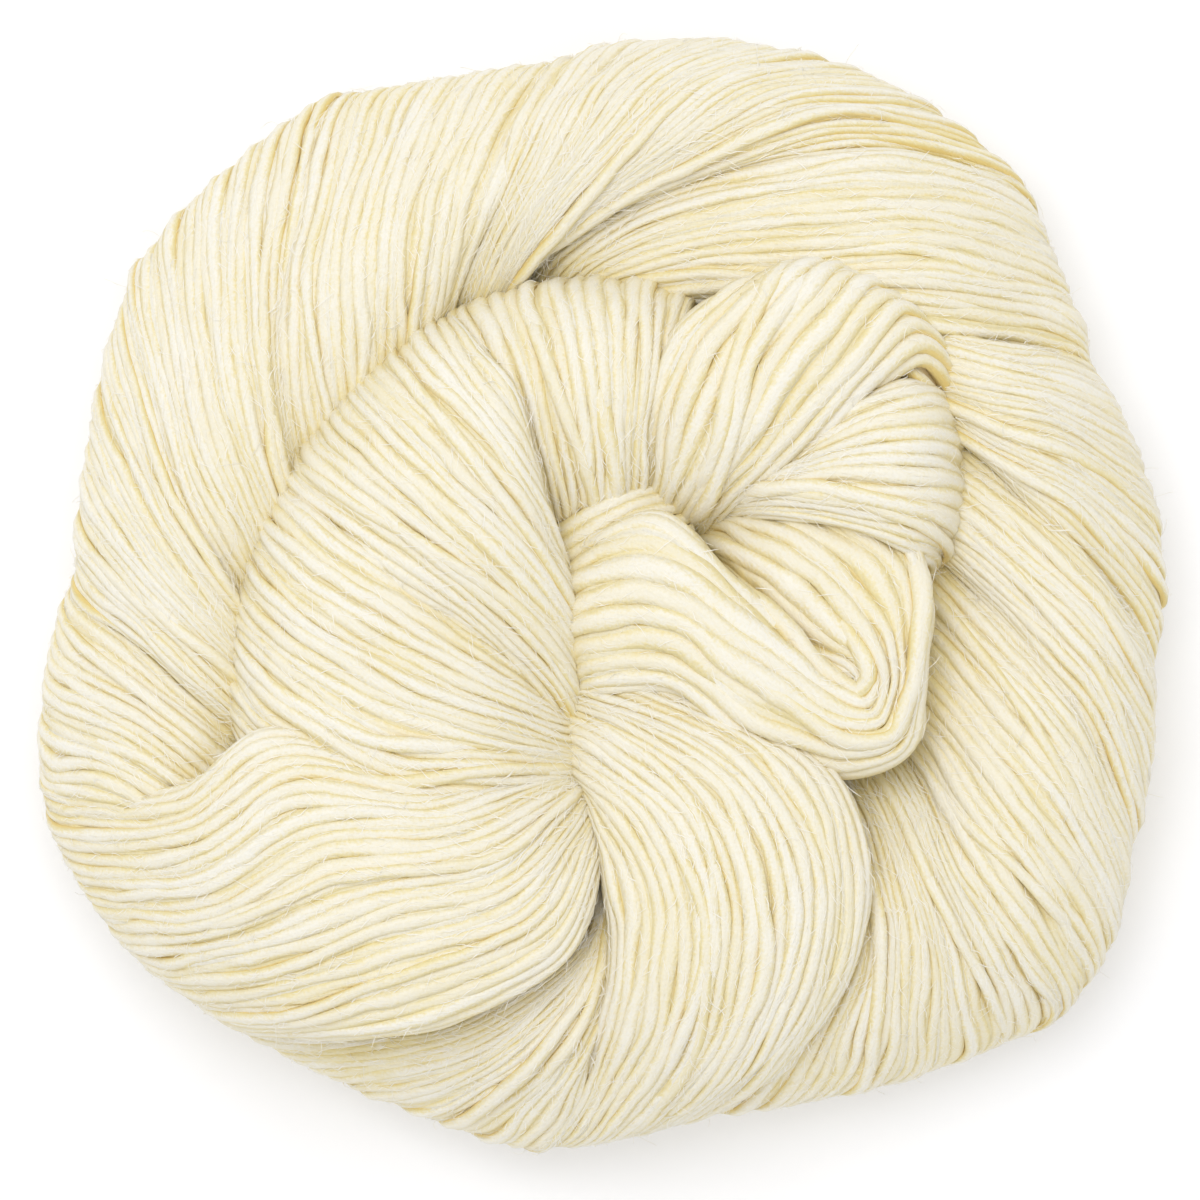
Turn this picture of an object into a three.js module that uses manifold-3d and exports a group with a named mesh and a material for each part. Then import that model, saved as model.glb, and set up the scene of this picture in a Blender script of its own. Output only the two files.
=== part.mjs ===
// A hank of soft single-ply wool yarn, lying flat.
// The skein's loop is twisted into a rope of two halves, and the rope is coiled clockwise, seen from
// above, into a round of almost two turns: a wide outer turn, and a raised inner turn that ends in the
// loop's own hairpin. Each half of the rope shows as a fold wherever it crosses the top, running from
// the inner side outward, over the crest, down the outside and back in under the hank.
// Millimetres, +Z up, the hank rests on z = 0 with its middle over the origin.
import * as THREE from "three";
import { ParametricGeometry } from "three/addons/geometries/ParametricGeometry.js";
import { mergeVertices } from "three/addons/utils/BufferGeometryUtils.js";
import Module from "manifold-3d";

const wasm = await Module();
wasm.setup();

// Driving dimensions
const HANK_WIDTH = 160; // outer width of the coil along X
const HANK_DEPTH = 157.5; // outer width of the coil along Y
const FOLD_BACK = 12; // how deep a fold's body reaches behind its face
const FOLD_OVERLAP = 0.055; // share of its width by which a fold is pressed into each neighbour
const LOWEST_START = 13; // the lowest crest of a fold's start, tucked in under its neighbours
const PRESSED = 0.8; // how far the outer turn's underside is pressed flat by the hank's weight
const OUTER_CORE_RADIUS = 59; // centre line of the outer turn's packed middle
const OUTER_CORE_HALF = 14.5; // half the thickness of that packed middle
const OUTER_CORE_HEIGHT = 15.5; // height of its centre line
const INNER_CORE_HALF = [37, 33, 12]; // half sizes of the packed middle of the inner turn
const INNER_CENTRE = [5.5, 5.5]; // middle of the inner turn
const INNER_CORE_HEIGHT = 19; // height of the middle of the inner turn's packing
const INNER_UNDERSIDE = 10; // height of the inner turn's underside at its edges
const SLIVER = 0.05; // the joined body keeps no sliver thinner than about this
const PAD_HALF = [46, 43, 8]; // half sizes of the packed strands that close the outer turn's middle
const PAD_HEIGHT = 15; // height of the middle of that packing
const MIDDLE = [-0.07, 0.97]; // where the middle of the coil lies in the table of folds
const BED = 60; // how far the cutting block of the resting face reaches down
const BED_WIDTH = 2 * HANK_WIDTH;
const STEPS_AROUND = 12; // faces around a fold's section
const STEPS_PER_ROW = 2; // sections between two rows of the table
const WOOL = { color: 0xebe1c4, roughness: 0.95, metalness: 0 };

// The table of folds, clockwise from the outer end of the coil. Each row is a section across the
// strands: where the first and the last strand pass, the height of the crest between them, how far the
// face bulges over the straight line between them, and how far that line bows ahead.
const COLUMNS = ["firstX", "firstY", "lastX", "lastY", "crest", "bulge", "bow"];
const FOLDS = [
  { name: "left band, lowest", turn: "outer", rows: [
    [-38.5, -47, -34, -28.5, 18.5, 3.5, 0],
    [-54.5, -38.5, -48, -21.5, 30.5, 3.5, 0],
    [-68, -30.5, -61.5, -9, 32, 3.5, 0.5],
    [-78, -28.5, -74, 1, 17.5, 2, 1],
  ] },
  { name: "left band, lower", turn: "outer", rows: [
    [-34, -28.5, -38.5, -8.5, 18.5, 3, 0],
    [-48, -21.5, -50.5, 0, 30.5, 3, 0],
    [-61.5, -9, -59, 17, 33.5, 3, 0.5],
    [-74, 1, -66.5, 44.5, 17.5, 1.5, 1],
  ] },
  { name: "left band, upper", turn: "outer", rows: [
    [-38.5, -8.5, -36, 5.5, 18.5, 3, 0],
    [-50.5, 0, -42.5, 17, 30, 3, 0],
    [-59, 17, -45, 38.5, 34, 3, 0.5],
    [-66.5, 44.5, -40, 69, 17.5, 1.5, 1],
  ] },
  { name: "left band, top", turn: "outer", rows: [
    [-36, 5.5, -20.5, 31, 18.5, 3, 0],
    [-42.5, 17, -21, 42, 29, 3, 0],
    [-45, 38.5, -14, 59.5, 34, 3, 1.5],
    [-40, 69, -5.5, 76, 17.5, 1.5, -0.5],
  ] },
  { name: "top fan", turn: "outer", rows: [
    [-22.5, 34, -11.5, 38.5, 17, 3, 0],
    [-20.5, 42, -8.5, 49.5, 27, 3.5, 0],
    [-15.5, 55.5, 8.5, 58, 34, 4.5, 1.5],
    [-11.5, 66.5, 35.5, 63.5, 33.5, 5, 4.5],
    [-5.5, 76, 59, 58.5, 17.5, 3, 8],
  ] },
  { name: "top right band", turn: "outer", rows: [
    [-11.5, 38.5, 0, 36, 17, 3, 0],
    [-5.5, 49.5, 8.5, 42.5, 27, 3.5, 0],
    [11.5, 59, 25.5, 39.5, 33.5, 4.5, 0.5],
    [37, 63.5, 47, 36, 34, 4.5, 1.5],
    [59, 58.5, 68.5, 33.5, 17.5, 1.5, 0],
  ] },
  { name: "right band, upper", turn: "outer", rows: [
    [20, 38.5, 32.5, 28.5, 18.5, 3, 0],
    [39.5, 39, 49, 24, 28.5, 3.5, 0],
    [55.5, 36, 64, 10, 34, 3.5, 2],
    [68.5, 33.5, 77.5, -8, 17.5, 2, 4],
  ] },
  { name: "right band, lower", turn: "outer", rows: [
    [28.5, 31, 35.5, 14, 18.5, 3, 0],
    [46, 24, 49, 6, 28.5, 3.5, 0],
    [64, 10, 63, -9, 34, 3.5, 0.5],
    [72.5, 0, 70, -20.5, 30.5, 3.5, 0.5],
    [77.5, -8, 74.5, -35.5, 17.5, 2, 1],
  ] },
  { name: "lower right band", turn: "outer", rows: [
    [35.5, 14, 28.5, -8.5, 18.5, 3, 0],
    [47.5, 6, 43, -22, 27, 3.5, 0],
    [62.5, -9, 51.5, -37.5, 34, 3.5, 0.5],
    [70, -21.5, 59.5, -49.5, 30.5, 3, 1],
    [74.5, -35.5, 64.5, -58.5, 17.5, 2, 2],
  ] },
  { name: "bottom right band", turn: "outer", rows: [
    [28.5, -8.5, 17, -20, 18.5, 3, 0],
    [43, -21.5, 30, -30, 27, 3.5, 0],
    [51.5, -37.5, 34, -47, 34, 3.5, 0.5],
    [59.5, -49.5, 25.5, -62.5, 29, 3, 2],
    [64.5, -58.5, 20, -71.5, 17, 2, 1.5],
  ] },
  { name: "bottom leaf", turn: "outer", rows: [
    [-8.5, -4.5, -5.5, -24, 28.5, 4.5, 0],
    [9.5, -11, -1.5, -30.5, 39, 5, 0],
    [29.5, -20.5, 0.5, -38.5, 44.5, 8, 0],
    [37.5, -35.5, 2, -47, 45.5, 9, 0],
    [35.5, -51.5, 1, -56.5, 42.5, 8.5, 0],
    [27, -64, -1, -65, 34, 6.5, 0],
    [15.5, -72, -8, -77.5, 17.5, 1.5, 0.5],
  ] },
  { name: "bottom fan, under", turn: "outer", rows: [
    [0, -38.5, -3, -34, 28.5, 2, 0],
    [2, -47, -1, -45.5, 34, 2, 0],
    [1, -57.5, -8.5, -53, 36, 3.5, 0],
    [-2.5, -67.5, -24, -58.5, 32, 4.5, 0.5],
    [-8, -77.5, -51, -60, 17, 2.5, 0.5],
  ] },
  { name: "bottom fan, over", turn: "outer", rows: [
    [0, -28.5, -2, -22.5, 30.5, 3, 0],
    [-0.5, -38, -15.5, -24.5, 41, 4.5, 0],
    [-5.5, -51.5, -31, -23, 47.5, 7, 0],
    [-21.5, -59, -47, -18.5, 49, 8.5, 0],
    [-37.5, -61, -59, -27, 42.5, 8, 0.5],
    [-51, -60, -78, -27.5, 20.5, 3, 3],
  ] },
  { name: "inner left leaf", turn: "inner", rows: [
    [3, -30.5, -2, -17.5, 29, 3, 0],
    [-15.5, -34.5, -14, -7, 42.5, 4, 0],
    [-30.5, -36.5, -27, 2.5, 46, 5, 0],
    [-42.5, -30, -37.5, 10, 44.5, 5, 0.5],
    [-51, -19.5, -44, 16, 32, 3.5, 1],
  ] },
  { name: "inner upper leaf", turn: "inner", rows: [
    [-3, -26, -6, 5, 28.5, 3.5, 0],
    [-7.5, -16, -8, 10, 38.5, 5, 0],
    [-17.5, -4.5, -10, 20.5, 46, 5.5, 0],
    [-28, 3, -13.5, 30, 47.5, 5.5, 0],
    [-37.5, 9.5, -17.5, 36, 42.5, 5, 0.5],
    [-44, 16, -20.5, 40, 32, 3.5, 0.5],
  ] },
  { name: "inner top band", turn: "inner", rows: [
    [-7, 4.5, 3.5, 8, 26, 3, 0],
    [-8.5, 13.5, 7, 17, 36, 3.5, 0],
    [-11.5, 23, 8.5, 26, 41, 4.5, 0],
    [-15.5, 32, 11, 35.5, 41, 4.5, 0.5],
    [-20.5, 40, 13, 43, 30.5, 3, 1.5],
  ] },
  { name: "inner top right fan", turn: "inner", rows: [
    [5, 10.5, 15, 7.5, 25, 3, 0],
    [6, 18.5, 21.5, 15, 36.5, 5, 0],
    [7, 28.5, 30.5, 21.5, 43, 6.5, 0],
    [10, 37.5, 39, 29, 44, 6.5, 1],
    [17.5, 43.5, 46, 34, 41.5, 6, 3],
    [25, 45, 50.5, 27.5, 31, 4.5, 4],
  ] },
  { name: "inner right fan", turn: "inner", rows: [
    [17.5, 15.5, 16, 11.5, 28, 3, 0],
    [25, 20, 24, 12, 38.5, 3.5, 0],
    [35.5, 27, 35.5, 10, 42.5, 4.5, 0],
    [43, 30.5, 43.5, 7, 41, 4, 0.5],
    [48, 29, 47, 5, 31, 3.5, 1],
  ] },
  { name: "end loop", turn: "none", rows: [
    [-8, 1.5, -4.5, -14, 30, 3, 0],
    [-0.5, 9, 0.5, -12.5, 39, 4.5, 0],
    [8, 12, 11.5, -13, 43, 5.5, 0],
    [17.5, 4.5, 22, -20.5, 44, 6.5, 0],
    [27.5, -5.5, 34, -24, 43, 6.5, 0],
    [35, -11, 43, -21.5, 42.5, 5, 0],
    [36, -10.5, 45, -14, 42.5, 4, 0],
    [34.5, -10, 45.5, -6.5, 42.5, 4, 0],
    [31.5, -9, 45.5, 1, 41, 4, 0],
    [27, -6.5, 43, 9, 39.5, 3.5, 0],
    [21.5, -1.5, 35.5, 14, 38.5, 3.5, 0],
    [16.5, 3, 26, 16, 34, 3.5, 0],
    [12.5, 6, 17.5, 15, 27, 3, 0],
  ] },
];

// How a fold starts before its first row: how far back, in distances of two rows, and how much lower
// its crest lies there.
const WAY_IN = [
  { reach: 1.4, drop: 16 },
  { reach: 0.6, drop: 5 },
];

// How a fold goes on past its last row: a share of the way in to the turn's centre, degrees clockwise,
// and the height of the two edge strands. The outer turn's folds lie on the resting face.
const WAY_BACK = {
  outer: { centre: [0, 0], steps: [
    { inward: 0.05, turned: 5, height: 7 },
    { inward: 0.18, turned: 12, height: null },
    { inward: 0.4, turned: 21, height: null },
    { inward: 0.53, turned: 27, height: 9 },
    { inward: 0.62, turned: 31, height: 15 },
  ] },
  inner: { centre: INNER_CENTRE, steps: [
    { inward: 0.1, turned: 6, height: 17.5 },
    { inward: 0.35, turned: 16, height: INNER_UNDERSIDE + 0.5 },
    { inward: 0.75, turned: 30, height: INNER_UNDERSIDE },
  ] },
  none: { centre: [0, 0], steps: [] },
};

// A row of the table with its columns by name
function namedRow(row) {
  return Object.fromEntries(COLUMNS.map((column, index) => [column, row[index]]));
}

// A point moved in towards a centre and turned clockwise about it
function turnedIn(x, y, centre, step) {
  const angle = THREE.MathUtils.degToRad(step.turned);
  const dx = (x - centre[0]) * (1 - step.inward);
  const dy = (y - centre[1]) * (1 - step.inward);
  return [
    centre[0] + dx * Math.cos(angle) + dy * Math.sin(angle),
    centre[1] - dx * Math.sin(angle) + dy * Math.cos(angle),
  ];
}

// A section before a fold's first row, where it is tucked in under its neighbours
function tuckedStart([first, second], { reach, drop }) {
  const before = (column) => first[column] - reach * (second[column] - first[column]);
  return {
    firstX: before("firstX"),
    firstY: before("firstY"),
    lastX: before("lastX"),
    lastY: before("lastY"),
    crest: Math.max(first.crest - drop, LOWEST_START),
    bulge: first.bulge,
    bow: 0,
  };
}

// All the sections of a fold: its way in, its rows, then the way back in under the hank
function foldSections(fold) {
  const rows = fold.rows.map(namedRow);
  const last = rows[rows.length - 1];
  const { centre, steps } = WAY_BACK[fold.turn];
  const under = steps.map((step) => {
    const [firstX, firstY] = turnedIn(last.firstX, last.firstY, centre, step);
    const [lastX, lastY] = turnedIn(last.lastX, last.lastY, centre, step);
    const edge = step.height ?? last.bulge - PRESSED;
    return {
      firstX,
      firstY,
      lastX,
      lastY,
      crest: edge + last.bulge,
      bulge: last.bulge,
      bow: last.bow * (1 - step.inward),
    };
  });
  return [...WAY_IN.map((step) => tuckedStart(rows, step)), ...rows, ...under];
}

// A smooth curve through one point of each section
function through(sections, pick) {
  return new THREE.CatmullRomCurve3(sections.map(pick), false, "catmullrom", 0.5);
}

// The closed surface of a fold as a function of u, along the strands, and v, around the section.
// The face is half an ellipse over the line between the edge strands, the back the other half.
function foldSurface(fold) {
  const sections = foldSections(fold);
  const first = through(sections, (s) => new THREE.Vector3(s.firstX, s.firstY, s.crest - s.bulge));
  const last = through(sections, (s) => new THREE.Vector3(s.lastX, s.lastY, s.crest - s.bulge));
  const shape = through(sections, (s) => new THREE.Vector3(s.bulge, s.bow, 0));
  const middle = (u) => first.getPoint(u).add(last.getPoint(u)).multiplyScalar(0.5);
  const nudge = 0.01;
  const surface = (v, u, target) => {
    const start = first.getPoint(u);
    const across = last.getPoint(u).sub(start);
    start.addScaledVector(across, -FOLD_OVERLAP);
    across.multiplyScalar(1 + 2 * FOLD_OVERLAP);
    const ahead = middle(Math.min(1, u + nudge)).sub(middle(Math.max(0, u - nudge))).normalize();
    const side = across.clone().normalize();
    const out = side.clone().cross(ahead).normalize();
    const { x: bulge, y: bow } = shape.getPoint(u);
    const around = 2 * Math.PI * v;
    const share = u > 0 && u < 1 ? (1 - Math.cos(around)) / 2 : 0.5;
    const lift = u > 0 && u < 1 ? Math.sin(around) : 0;
    target.copy(start).addScaledVector(across, share);
    target.x -= side.y * bow * 4 * share * (1 - share);
    target.y += side.x * bow * 4 * share * (1 - share);
    target.addScaledVector(out, lift * (lift > 0 ? bulge : FOLD_BACK));
  };
  return { surface, stepsAlong: (sections.length - 1) * STEPS_PER_ROW };
}

// A closed three.js geometry as a solid, without the triangles that closing it left flat
function toSolid(geometry) {
  const bare = geometry.clone();
  bare.deleteAttribute("normal");
  bare.deleteAttribute("uv");
  const merged = mergeVertices(bare, 1e-4);
  const index = Array.from(merged.index.array);
  const triangles = [];
  for (let i = 0; i < index.length; i += 3) {
    const [a, b, c] = index.slice(i, i + 3);
    if (a !== b && b !== c && c !== a) triangles.push(a, b, c);
  }
  return new wasm.Manifold(new wasm.Mesh({
    numProp: 3,
    vertProperties: new Float32Array(merged.attributes.position.array),
    triVerts: new Uint32Array(triangles),
  }));
}

function foldSolid(fold) {
  const { surface, stepsAlong } = foldSurface(fold);
  return toSolid(new ParametricGeometry(surface, STEPS_AROUND, stepsAlong));
}

// The packed middle of the outer turn, which every fold of that turn is wrapped around
function outerCore() {
  const ring = new THREE.TorusGeometry(OUTER_CORE_RADIUS, OUTER_CORE_HALF, 10, 48);
  ring.scale(1, HANK_DEPTH / HANK_WIDTH, 1);
  ring.translate(0, 0, OUTER_CORE_HEIGHT);
  return toSolid(ring);
}

// A rounded mass of packed strands from its half sizes, its middle and the height of its middle
function packing(half, middle, height) {
  const ball = new THREE.SphereGeometry(1, 24, 12);
  ball.rotateX(Math.PI / 2);
  ball.scale(...half);
  ball.translate(...middle, height);
  return toSolid(ball);
}

// The surface that the hank rests on, as a block that trims its underside flat
function restingBlock() {
  const block = new THREE.BoxGeometry(BED_WIDTH, BED_WIDTH, BED);
  block.translate(0, 0, -BED / 2);
  return toSolid(block);
}

// The whole hank as one body: its largest skin, without the air pockets closed in between the folds
function hankSolid() {
  const inner = packing(INNER_CORE_HALF, INNER_CENTRE, INNER_CORE_HEIGHT);
  const pad = packing(PAD_HALF, MIDDLE, PAD_HEIGHT);
  const pieces = [inner, pad, ...FOLDS.map(foldSolid)];
  const whole = pieces.reduce((sum, piece) => sum.add(piece), outerCore()).subtract(restingBlock());
  const skins = whole.simplify(SLIVER).decompose();
  return skins.reduce((best, skin) => (skin.volume() > best.volume() ? skin : best));
}

function toGeometry(solid) {
  const mesh = solid.getMesh();
  const geometry = new THREE.BufferGeometry();
  const positions = new THREE.BufferAttribute(new Float32Array(mesh.vertProperties), mesh.numProp);
  geometry.setAttribute("position", positions);
  geometry.setIndex(new THREE.BufferAttribute(new Uint32Array(mesh.triVerts), 1));
  geometry.translate(-MIDDLE[0], -MIDDLE[1], 0);
  geometry.computeVertexNormals();
  return geometry;
}

const hank = new THREE.Mesh(toGeometry(hankSolid()), new THREE.MeshStandardMaterial(WOOL));
hank.name = "hank";

const part = new THREE.Group();
part.add(hank);

export default part;
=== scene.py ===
# %% [markdown]
# # A hank of wool yarn, dressed strand by strand
#
# The real object is one long thread of undyed, softly spun wool. It was wound to a wide loop, the loop
# was twisted until it closed on itself as a rope of two halves, and the rope was laid down as a round
# coil. The construction model holds that coil as one solid with its folds.
#
# A picture of stripes painted on that solid would stay flat, because real strands cast small shadows,
# cross each other and show dark gaps. So this lesson lays the thread itself over the folds: a few
# hundred strands side by side, more strands under them, and the loose fibres that make wool look soft.
#
# The first cell opens the construction model. It is the frame that every piece is measured in.

import math

import bpy
import numpy as np
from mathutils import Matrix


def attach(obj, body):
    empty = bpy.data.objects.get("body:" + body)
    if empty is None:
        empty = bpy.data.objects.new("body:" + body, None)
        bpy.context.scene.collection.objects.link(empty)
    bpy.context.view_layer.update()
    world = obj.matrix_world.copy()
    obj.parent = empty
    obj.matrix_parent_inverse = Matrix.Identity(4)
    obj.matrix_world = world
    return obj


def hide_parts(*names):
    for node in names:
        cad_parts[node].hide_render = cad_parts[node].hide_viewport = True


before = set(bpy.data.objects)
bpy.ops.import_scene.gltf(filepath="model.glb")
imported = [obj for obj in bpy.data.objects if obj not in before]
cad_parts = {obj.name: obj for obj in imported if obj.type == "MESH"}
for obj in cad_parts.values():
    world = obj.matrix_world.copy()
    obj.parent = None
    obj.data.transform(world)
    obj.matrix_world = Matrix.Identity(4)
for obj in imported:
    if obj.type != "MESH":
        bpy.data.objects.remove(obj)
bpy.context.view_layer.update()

# %% [markdown]
# ## The camera
#
# The hank was photographed from straight above. The picture is square and shows 1200 times 0.1417 mm
# from side to side. A long lens from far away keeps the raised inner turn from looking larger than the
# outer turn, as in the photograph. The coil lies a little off the middle of the picture.

# %% Camera
MM = 0.001
PICTURE_WIDTH = 1200 * 0.1417 * MM  # what the picture shows from side to side
CAMERA_HEIGHT = 4.0
SCALE_HEIGHT = 20 * MM  # the height above the floor at which the picture is that wide
SENSOR_WIDTH = 36.0
COIL_MIDDLE = np.array([-0.07, 0.97])  # millimetres, the coil's middle as seen from the picture's middle

camera_data = bpy.data.cameras.new("camera")
camera_data.sensor_width = SENSOR_WIDTH
camera_data.lens = SENSOR_WIDTH * (CAMERA_HEIGHT - SCALE_HEIGHT) / PICTURE_WIDTH
camera_data.clip_end = 100.0
camera = bpy.data.objects.new("camera", camera_data)
camera.location = (-COIL_MIDDLE[0] * MM, -COIL_MIDDLE[1] * MM, CAMERA_HEIGHT)
bpy.context.collection.objects.link(camera)
bpy.context.scene.camera = camera
print("lens:", round(camera_data.lens), "mm")

# %% [markdown]
# ## The folds
#
# Each half of the rope shows as a fold where it crosses the top. A fold is written as a short table. The
# construction model is made from the same one, but for the last row of the bottom right band, which
# reaches a little further in here to close a slit. One row is a section across the strands: where the
# first and the last strand pass, the height of the crest between them, how far the face bulges over the
# straight line between them, and how far that line bows ahead. All are in millimetres, and places are
# counted from the middle of the picture.

# %% Table of folds
FOLDS = {
    "left band, lowest": ("outer", [
        (-38.5, -47, -34, -28.5, 18.5, 3.5, 0),
        (-54.5, -38.5, -48, -21.5, 30.5, 3.5, 0),
        (-68, -30.5, -61.5, -9, 32, 3.5, 0.5),
        (-78, -28.5, -74, 1, 17.5, 2, 1),
    ]),
    "left band, lower": ("outer", [
        (-34, -28.5, -38.5, -8.5, 18.5, 3, 0),
        (-48, -21.5, -50.5, 0, 30.5, 3, 0),
        (-61.5, -9, -59, 17, 33.5, 3, 0.5),
        (-74, 1, -66.5, 44.5, 17.5, 1.5, 1),
    ]),
    "left band, upper": ("outer", [
        (-38.5, -8.5, -36, 5.5, 18.5, 3, 0),
        (-50.5, 0, -42.5, 17, 30, 3, 0),
        (-59, 17, -45, 38.5, 34, 3, 0.5),
        (-66.5, 44.5, -40, 69, 17.5, 1.5, 1),
    ]),
    "left band, top": ("outer", [
        (-36, 5.5, -20.5, 31, 18.5, 3, 0),
        (-42.5, 17, -21, 42, 29, 3, 0),
        (-45, 38.5, -14, 59.5, 34, 3, 1.5),
        (-40, 69, -5.5, 76, 17.5, 1.5, -0.5),
    ]),
    "top fan": ("outer", [
        (-22.5, 34, -11.5, 38.5, 17, 3, 0),
        (-20.5, 42, -8.5, 49.5, 27, 3.5, 0),
        (-15.5, 55.5, 8.5, 58, 34, 4.5, 1.5),
        (-11.5, 66.5, 35.5, 63.5, 33.5, 5, 4.5),
        (-5.5, 76, 59, 58.5, 17.5, 3, 8),
    ]),
    "top right band": ("outer", [
        (-11.5, 38.5, 0, 36, 17, 3, 0),
        (-5.5, 49.5, 8.5, 42.5, 27, 3.5, 0),
        (11.5, 59, 25.5, 39.5, 33.5, 4.5, 0.5),
        (37, 63.5, 47, 36, 34, 4.5, 1.5),
        (59, 58.5, 68.5, 33.5, 17.5, 1.5, 0),
    ]),
    "right band, upper": ("outer", [
        (20, 38.5, 32.5, 28.5, 18.5, 3, 0),
        (39.5, 39, 49, 24, 28.5, 3.5, 0),
        (55.5, 36, 64, 10, 34, 3.5, 2),
        (68.5, 33.5, 77.5, -8, 17.5, 2, 4),
    ]),
    "right band, lower": ("outer", [
        (28.5, 31, 35.5, 14, 18.5, 3, 0),
        (46, 24, 49, 6, 28.5, 3.5, 0),
        (64, 10, 63, -9, 34, 3.5, 0.5),
        (72.5, 0, 70, -20.5, 30.5, 3.5, 0.5),
        (77.5, -8, 74.5, -35.5, 17.5, 2, 1),
    ]),
    "lower right band": ("outer", [
        (35.5, 14, 28.5, -8.5, 18.5, 3, 0),
        (47.5, 6, 43, -22, 27, 3.5, 0),
        (62.5, -9, 51.5, -37.5, 34, 3.5, 0.5),
        (70, -21.5, 59.5, -49.5, 30.5, 3, 1),
        (74.5, -35.5, 64.5, -58.5, 17.5, 2, 2),
    ]),
    "bottom right band": ("outer", [
        (28.5, -8.5, 17, -20, 18.5, 3, 0),
        (43, -21.5, 30, -30, 27, 3.5, 0),
        (51.5, -37.5, 34, -47, 34, 3.5, 0.5),
        (59.5, -49.5, 25.5, -62.5, 29, 3, 2),
        (64.5, -58.5, 17.5, -72, 17, 2, 1.5),
    ]),
    "bottom leaf": ("outer", [
        (-8.5, -4.5, -5.5, -24, 28.5, 4.5, 0),
        (9.5, -11, -1.5, -30.5, 39, 5, 0),
        (29.5, -20.5, 0.5, -38.5, 44.5, 8, 0),
        (37.5, -35.5, 2, -47, 45.5, 9, 0),
        (35.5, -51.5, 1, -56.5, 42.5, 8.5, 0),
        (27, -64, -1, -65, 34, 6.5, 0),
        (15.5, -72, -8, -77.5, 17.5, 1.5, 0.5),
    ]),
    "bottom fan, under": ("outer", [
        (0, -38.5, -3, -34, 28.5, 2, 0),
        (2, -47, -1, -45.5, 34, 2, 0),
        (1, -57.5, -8.5, -53, 36, 3.5, 0),
        (-2.5, -67.5, -24, -58.5, 32, 4.5, 0.5),
        (-8, -77.5, -51, -60, 17, 2.5, 0.5),
    ]),
    "bottom fan, over": ("outer", [
        (0, -28.5, -2, -22.5, 30.5, 3, 0),
        (-0.5, -38, -15.5, -24.5, 41, 4.5, 0),
        (-5.5, -51.5, -31, -23, 47.5, 7, 0),
        (-21.5, -59, -47, -18.5, 49, 8.5, 0),
        (-37.5, -61, -59, -27, 42.5, 8, 0.5),
        (-51, -60, -78, -27.5, 20.5, 3, 3),
    ]),
    "inner left leaf": ("inner", [
        (3, -30.5, -2, -17.5, 29, 3, 0),
        (-15.5, -34.5, -14, -7, 42.5, 4, 0),
        (-30.5, -36.5, -27, 2.5, 46, 5, 0),
        (-42.5, -30, -37.5, 10, 44.5, 5, 0.5),
        (-51, -19.5, -44, 16, 32, 3.5, 1),
    ]),
    "inner upper leaf": ("inner", [
        (-3, -26, -6, 5, 28.5, 3.5, 0),
        (-7.5, -16, -8, 10, 38.5, 5, 0),
        (-17.5, -4.5, -10, 20.5, 46, 5.5, 0),
        (-28, 3, -13.5, 30, 47.5, 5.5, 0),
        (-37.5, 9.5, -17.5, 36, 42.5, 5, 0.5),
        (-44, 16, -20.5, 40, 32, 3.5, 0.5),
    ]),
    "inner top band": ("inner", [
        (-7, 4.5, 3.5, 8, 26, 3, 0),
        (-8.5, 13.5, 7, 17, 36, 3.5, 0),
        (-11.5, 23, 8.5, 26, 41, 4.5, 0),
        (-15.5, 32, 11, 35.5, 41, 4.5, 0.5),
        (-20.5, 40, 13, 43, 30.5, 3, 1.5),
    ]),
    "inner top right fan": ("inner", [
        (5, 10.5, 15, 7.5, 25, 3, 0),
        (6, 18.5, 21.5, 15, 36.5, 5, 0),
        (7, 28.5, 30.5, 21.5, 43, 6.5, 0),
        (10, 37.5, 39, 29, 44, 6.5, 1),
        (17.5, 43.5, 46, 34, 41.5, 6, 3),
        (25, 45, 50.5, 27.5, 31, 4.5, 4),
    ]),
    "inner right fan": ("inner", [
        (17.5, 15.5, 16, 11.5, 28, 3, 0),
        (25, 20, 24, 12, 38.5, 3.5, 0),
        (35.5, 27, 35.5, 10, 42.5, 4.5, 0),
        (43, 30.5, 43.5, 7, 41, 4, 0.5),
        (48, 29, 47, 5, 31, 3.5, 1),
    ]),
    "end loop": ("none", [
        (-8, 1.5, -4.5, -14, 30, 3, 0),
        (-0.5, 9, 0.5, -12.5, 39, 4.5, 0),
        (8, 12, 11.5, -13, 43, 5.5, 0),
        (17.5, 4.5, 22, -20.5, 44, 6.5, 0),
        (27.5, -5.5, 34, -24, 43, 6.5, 0),
        (35, -11, 43, -21.5, 42.5, 5, 0),
        (36, -10.5, 45, -14, 42.5, 4, 0),
        (34.5, -10, 45.5, -6.5, 42.5, 4, 0),
        (31.5, -9, 45.5, 1, 41, 4, 0),
        (27, -6.5, 43, 9, 39.5, 3.5, 0),
        (21.5, -1.5, 35.5, 14, 38.5, 3.5, 0),
        (16.5, 3, 26, 16, 34, 3.5, 0),
        (12.5, 6, 17.5, 15, 27, 3, 0),
    ]),
}

print(len(FOLDS), "folds,", sum(len(rows) for _, rows in FOLDS.values()), "sections")

# %% [markdown]
# ## Where a fold comes from and where it goes
#
# The table holds what shows from above. Before its first row a fold dives in under its neighbours, and
# past its last row it goes down the outside and back in under the hank. These hidden ways are alike for
# all the folds of a turn, so they are written once and added to every fold by a function.

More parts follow.
